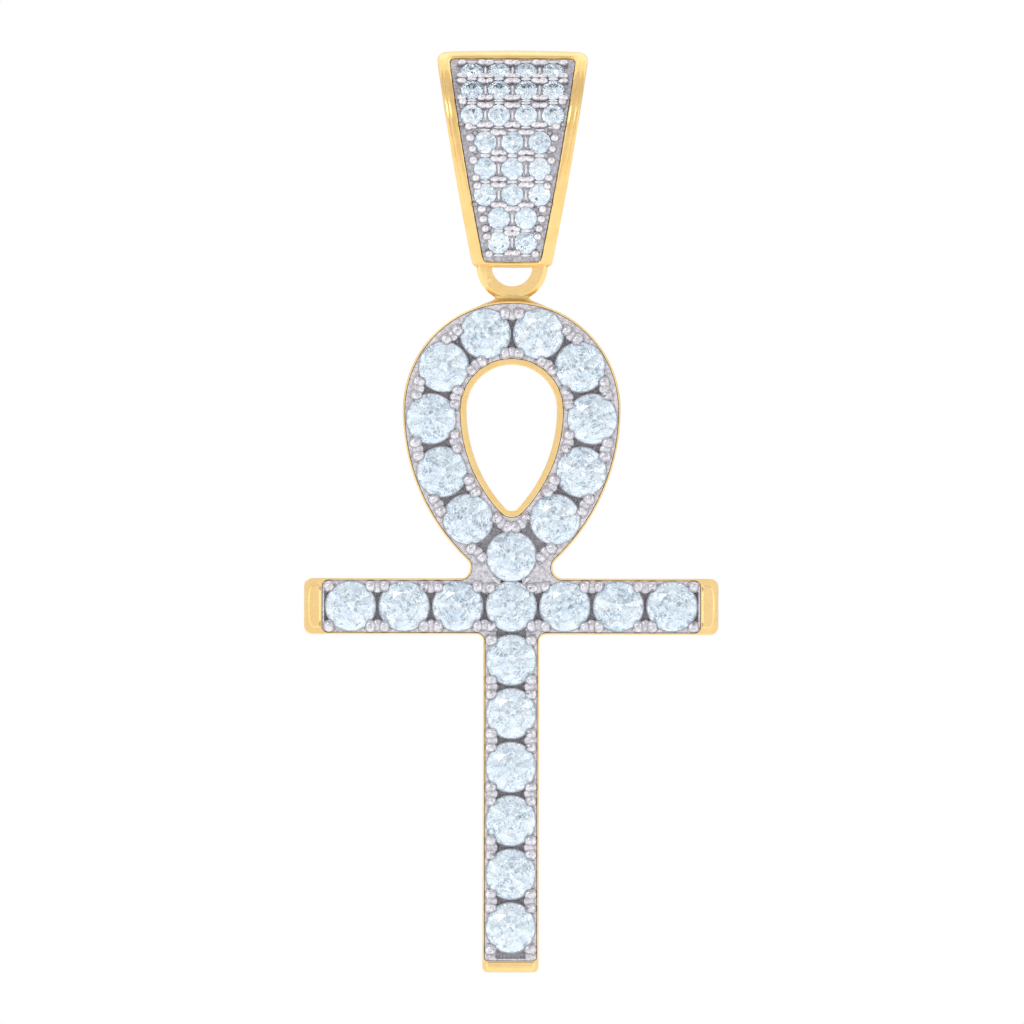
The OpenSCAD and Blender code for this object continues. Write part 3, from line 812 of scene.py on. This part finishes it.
def block_pads(material):
    """The raised pad on each end block, with sloping sides."""
    low, high = (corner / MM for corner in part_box("ankh_body"))
    bar_z = stone_size("stone_01")[0].z / MM
    block_y = low.y + CAD_PAD
    for name, foot, face, place in (
            ("left_block_pad", ARM_PAD, ARM_FACE, lambda u, v, y: (low.x + u, y, bar_z + v)),
            ("right_block_pad", ARM_PAD, ARM_FACE, lambda u, v, y: (high.x - u, y, bar_z + v)),
            ("foot_block_pad", FOOT_PAD, FOOT_FACE, lambda u, v, y: (v, y, low.z + u))):
        rings = []
        for line, rise, inset in ((foot, -PAD_WALL, 0), (foot, PAD_WALL, 0), (face, PAD_RISE, 0),
                                  (face, PAD_RISE, FACE_INSET)):
            middle = (line[0][0] + line[-1][0]) / 2
            half = [(u + math.copysign(inset, middle - u), max(0, v - inset) if v else 0)
                    for u, v in line]
            whole = half + [(u, -v) for u, v in half[-2:0:-1]]
            rings.append(smooth_path([Vector(place(u, v, block_y - rise)) for u, v in whole]))
        lofted(name, rings, False, "ankh", material, PAD_SHARP)


def tube(points, radius):
    """Rings of points for a line along a closed path; radius is its half width and half depth."""
    rings = []
    for i, point in enumerate(points):
        along = (points[(i + 1) % len(points)] - points[i - 1]).normalized()
        side = along.cross(Vector((0, 1, 0)))
        ring = []
        for k in range(TUBE_SIDES):
            turn = 2 * math.pi * k / TUBE_SIDES
            deep = Vector((0, radius[1] * math.sin(turn), 0))
            ring.append(point + side * (radius[0] * math.cos(turn)) + deep)
        rings.append(ring)
    return rings


def seat_rims(material):
    """The thin bright edge of each main stone's seat."""
    mesh = bmesh.new()
    for node in STONES:
        middle, radius, table_y = (part / MM for part in stone_size(node))
        centre = Vector((middle.x, table_y + CROWN * radius, middle.z))
        path = [centre + Vector((math.cos(a), 0, math.sin(a))) * (radius + SEAT_RIM[0])
                for a in (2 * math.pi * i / SEAT_POINTS for i in range(SEAT_POINTS))]
        rows = [[mesh.verts.new(point * MM) for point in ring] for ring in tube(path, SEAT_RIM)]
        for i, row in enumerate(rows):
            other = rows[(i + 1) % len(rows)]
            for k in range(len(row)):
                nxt = (k + 1) % len(row)
                mesh.faces.new((row[k], row[nxt], other[nxt], other[k])).smooth = True
    bmesh.ops.recalc_face_normals(mesh, faces=mesh.faces)
    add_piece("seat_rims", made_mesh(mesh, "seat_rims"), "ankh", [material])


def solder_neck(material):
    """The flare of solder that joins the ring to the loop's top."""
    low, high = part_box("ankh_body")
    middle = (low.y + high.y) / 2 / MM
    top = high.z / MM - RING_ACROSS + RING_SINK
    rings = []
    for level, wide, deep in SOLDER:
        ring = []
        for i in range(SOLDER_POINTS):
            turn = 2 * math.pi * i / SOLDER_POINTS
            c, s = math.cos(turn), math.sin(turn)
            x = math.copysign(abs(c) ** SOLDER_POWER, c) * wide
            y = math.copysign(abs(s) ** SOLDER_POWER, s) * deep
            ring.append(Vector((x, middle + y, top + level)))
        rings.append(ring)
    lofted("solder_neck", rings, False, "ankh", material, SHARP)


def dome_mesh(name, blunt, rings=10, sides=20):
    """A rounded block of radius 1; a higher blunt gives fuller corners and a flatter top. Blender
    makes a sphere's faces in any order, so they are sorted to be the same in each run."""
    mesh = bmesh.new()
    bmesh.ops.create_uvsphere(mesh, u_segments=sides, v_segments=rings, radius=1)
    mesh.verts.sort(key=lambda vert: vert.co.dot(ODD_WAY))
    mesh.faces.sort(key=lambda face: face.calc_center_median().dot(ODD_WAY))
    for vert in mesh.verts:
        vert.co /= sum(abs(c) ** blunt for c in vert.co) ** (1 / blunt)
    return made_mesh(mesh, name)


def sized(radii):
    """The matrix that gives a block of radius 1 three radii."""
    return Matrix.Diagonal((*radii, 1))


def joined(name, copies, body, material):
    """One smooth piece from copies of meshes, each (mesh, place, whether its root gets painted
    shade).
    """
    field = bmesh.new()
    rises = []
    for mesh, place, root_shade_painted in copies:
        rises += [abs(vert.co.z) if root_shade_painted else PLAIN_RISE for vert in mesh.vertices]
        copy = mesh.copy()
        copy.transform(place)
        field.from_mesh(copy)
        bpy.data.meshes.remove(copy)
    for face in field.faces:
        face.smooth = True
    made = made_mesh(field, name)
    made.attributes.new("rise", "FLOAT", "POINT").data.foreach_set("value", rises)
    add_piece(name, made, body, [material])


def claw_places():
    """Place of each claw, from the tips in the setting: +Z to the front, +X to its stone."""
    centres = [stone_size(node)[0] for node in STONES]
    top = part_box("ankh_setting")[0].y + CLAW_TOP
    tips = [vert.co.copy() for vert in NODES["ankh_setting"].data.vertices if vert.co.y < top]
    spots = []
    for tip in tips:
        if all((tip - spot[0]).length > CLAW_APART for spot in spots):
            spots.append([tip])
    for tip in tips:
        min(spots, key=lambda spot: (tip - spot[0]).length).append(tip)
    places = []
    front = Vector((0, -1, 0))
    for spot in spots:
        middle = sum(spot[1:], Vector()) / (len(spot) - 1)
        held, other = sorted(centres, key=lambda c: (c - middle).length)[:2]
        row = Vector((other.x - held.x, 0, other.z - held.z)).normalized()
        across = front.cross(row)
        if across.dot(held - middle) < 0:
            across.negate()
        turn = Matrix((across, front.cross(across), front)).transposed().to_4x4()
        places.append(Matrix.Translation((middle.x, 0, middle.z)) @ turn)
    return places


def claws(material, face_y, rng):
    """The claws over the edges of the main stones, with their shoulders, webs and bridges."""
    claw = dome_mesh("claw", blunt=2.5)
    ball = dome_mesh("shoulder", blunt=2.0)
    shoulder = Matrix.Translation((-SHOULDER_BACK, 0, 0)) @ sized(SHOULDER)
    face = Matrix.Translation((0, face_y, 0))
    copies = []
    places = claw_places()
    for place in places:
        turn = Matrix.Rotation(rng.uniform(-CLAW_TURN, CLAW_TURN), 4, "Z")
        size = sized((rng.uniform(*CLAW_WIDTHS), rng.uniform(*CLAW_WIDTHS),
                      rng.uniform(*CLAW_HEIGHTS)))
        seat = face @ place @ Matrix.Translation((-CLAW_BACK, 0, 0))
        copies.append((claw, seat @ turn @ size @ sized(CLAW), True))
        copies.append((ball, seat @ shoulder, True))
    for i, place in enumerate(places):
        for other in places[i + 1:]:
            step = other.translation - place.translation
            if step.length < PAIR:
                middle = face @ Matrix.Translation(step / 2)
                copies.append((ball, middle @ place @ sized(WEB), False))
    bar_z = stone_size("stone_01")[0].z
    x, up = CORNER_BRIDGE
    for side in (-1, 1):
        spot = Matrix.Translation((side * x * MM, face_y, bar_z + up * MM))
        lean = Matrix.Rotation(math.radians(-45 * side), 4, "Y")
        stand = Matrix.Rotation(math.radians(90), 4, "X")
        copies.append((ball, spot @ lean @ stand @ sized(BRIDGE), False))
    joined("claws", copies, "ankh", material)


def small_beads(material, rng):
    """Beads round each small stone, ridges and bars between neighbours, and the margin's beads."""
    ball = dome_mesh("bead", blunt=2.2)
    copies = []
    seats = small_seats()
    spots = [place.translation for place, _ in seats]
    for place, radius in seats:
        here = place.translation
        row = [other for other in spots if abs(other.z - here.z) < ROW_LEVEL]
        for across in (-1, 1):
            edge = all((other.x - here.x) * across <= 0 for other in row)
            for along in (-1, 1):
                spot = place @ Matrix.Translation((across * BEAD_ACROSS, along * BEAD_ALONG, 0))
                turn = Matrix.Rotation(rng.uniform(-BEAD_TURN, BEAD_TURN), 4, "Z")
                size = sized([r * rng.uniform(*BEAD_SIZES) for r in BEAD])
                if edge and here.z / MM - BAIL_FOOT < LOWER_ROWS:
                    continue
                if edge:
                    rim = side_x(spot.translation.z / MM - BAIL_FOOT) - RIM[0]
                    room = rim * MM - BEAD[0]
                    spot.translation.x = across * min(abs(spot.translation.x), room)
                copies.append((ball, spot @ turn @ size, True))
        for along in (-1, 1):
            beyond = Matrix.Translation((0, along * (radius + BAR[1]), 0))
            copies.append((ball, place @ beyond @ sized(BAR), False))
        for other in row:
            step = other.x - here.x
            if 0 < step < NEIGHBOUR:
                middle = Matrix.Translation((step / 2, 0, 0))
                copies.append((ball, place @ middle @ sized(RIDGE), False))
    for side in (-1, 1):
        for x, height in MARGIN_BEADS:
            middle = bail_front(side * x, height, 0.0)
            out = bail_front(side * x, height, 1.0) - middle
            turn = out.to_track_quat("Z", "Y").to_matrix().to_4x4()
            size = sized([r * rng.uniform(*MARGIN_SIZES) for r in MARGIN_BEAD])
            copies.append((ball, Matrix.Translation(middle * MM) @ turn @ size, True))
    joined("small_beads", copies, "bail", material)


def world_light():
    """A white room: bright all round, a little darker where the camera stands and overhead. The
    camera itself sees it plain white."""
    world = bpy.data.worlds.new("studio")
    bpy.context.scene.world = world
    world.use_nodes = True
    nodes = world.node_tree.nodes
    net = Network(world.node_tree)
    axes = net.axes("Generated")
    direction = net.spread(axes.outputs["Y"], 0.0, 1.0, -1.0, 1.0)
    above = net.spread(axes.outputs["Z"], 0.0, 1.0, *OVERHEAD)
    tone = net.two_tone(above, net.ramp(direction, WORLD_TONES),
                        net.ramp(direction, OVERHEAD_TONES))
    clouds = net.noise(ROOM_CLOUDS, 2.0, "Generated")
    sky = nodes["Background"]
    net.link(tone, sky.inputs["Color"])
    net.link(net.spread(clouds, *ROOM_CLOUD_TONES), sky.inputs["Strength"])
    white = net.add("ShaderNodeBackground", Color=(1.0, 1.0, 1.0, 1.0))
    seen = net.add("ShaderNodeLightPath")
    mix = net.add("ShaderNodeMixShader")
    net.link(seen.outputs["Is Camera Ray"], mix.inputs[0])
    net.link(sky.outputs[0], mix.inputs[1])
    net.link(white.outputs[0], mix.inputs[2])
    net.link(mix.outputs[0], nodes["World Output"].inputs["Surface"])


def soft_lamp(name):
    """A square softbox, aimed at the pendant."""
    data = bpy.data.lights.new(name, "AREA")
    data.size = KEY_SIDE
    data.energy = KEY_POWER
    lamp = bpy.data.objects.new(name, data)
    lamp.location = KEY_PLACE
    lamp.rotation_euler = (KEY_TARGET - KEY_PLACE).to_track_quat("-Z", "Y").to_euler()
    lamp.visible_camera = False
    bpy.context.scene.collection.objects.link(lamp)


def pale_floor(material):
    """A plain floor below the hanging pendant."""
    bpy.ops.mesh.primitive_circle_add(vertices=64, radius=FLOOR_RADIUS, fill_type="NGON",
                                      location=(0, 0, cad_box[0].z - FLOOR_DROP))
    floor = bpy.context.object
    floor.name = "floor"
    floor.data.materials.append(material)


def photo_camera(face_y):
    """The photograph's view: straight at the front, framed so that a pixel is PIXEL wide on the
    ankh's face."""
    bar_z = stone_size("stone_01")[0].z
    camera = bpy.data.objects.new("camera", bpy.data.cameras.new("camera"))
    bpy.context.scene.collection.objects.link(camera)
    camera.data.sensor_width = SENSOR
    camera.data.lens = LENS
    distance = PHOTO_SIDE * PIXEL * LENS / SENSOR
    centre = Vector((PHOTO_SIDE / 2, PHOTO_SIDE / 2)) - BAR_PIXEL
    camera.location = (centre.x * PIXEL, face_y - distance, bar_z - centre.y * PIXEL)
    camera.rotation_euler = (math.radians(90), math.radians(CAMERA_ROLL), 0)
    camera.data.clip_start = distance / 100
    camera.data.clip_end = distance * 100
    bpy.context.scene.camera = camera


def main():
    """Builds, dresses and lights everything."""
    rng = random.Random(SEED)
    radius, table_y = stone_size("stone_01")[1:]
    face_y = table_y + (HALF_GIRDLE + CROWN) * radius
    block_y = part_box("ankh_body")[0].y / MM + CAD_PAD
    gold = gold_material("polished_gold", GOLD_DEEP, GOLD)
    rim_gold = gold_material("polished_rim_gold", RIM_GOLD_DEEP, RIM_GOLD)
    plate = plate_material("satin_plate", PLATE_DARK, PLATE, face_y, RECESS_DEPTH, True)
    bail_plate = plate_material("satin_bail_plate", BAIL_PLATE_DARK, BAIL_PLATE, 0.0, NO_RECESS,
                                False)
    finished("ankh_body", "gold_body", "ankh", gold, BODY_EDGE,
             lambda co: Vector((0, max(0.0, block_y - co.y), 0)))
    finished("bail_frame", "gold_bail", "bail", gold, BAIL_EDGE, lambda co: Vector(
        (0, 0, foot_lift(co.x, co.z - BAIL_FOOT) if co.y < FRONT_Y / 2 else 0.0)))
    bail_border(rim_gold)
    solder_neck(solder_material())
    block_pads(gold)
    seat_rims(plate)
    dress("bail_pin", gold)
    dress("ankh_setting", plate)
    dress("bail_setting", bail_plate)
    cut = brilliant_mesh("brilliant")
    stone = [stone_material(), stone_back_material()]
    main_stones(cut, stone, rng)
    pave_stones(cut, stone, rng)
    claws(claw_material("burnished_claws", BURNISHED_DARK, BURNISHED), face_y, rng)
    small_beads(claw_material("burnished_beads", BEAD_DARK, BEAD_WHITE), rng)
    world_light()
    soft_lamp("key")
    pale_floor(paper_material())
    photo_camera(face_y)
    scene = bpy.context.scene
    scene.view_settings.view_transform = "Standard"
    scene.cycles.max_bounces = 24
    scene.cycles.glossy_bounces = 20
    scene.cycles.transmission_bounces = 16


main()
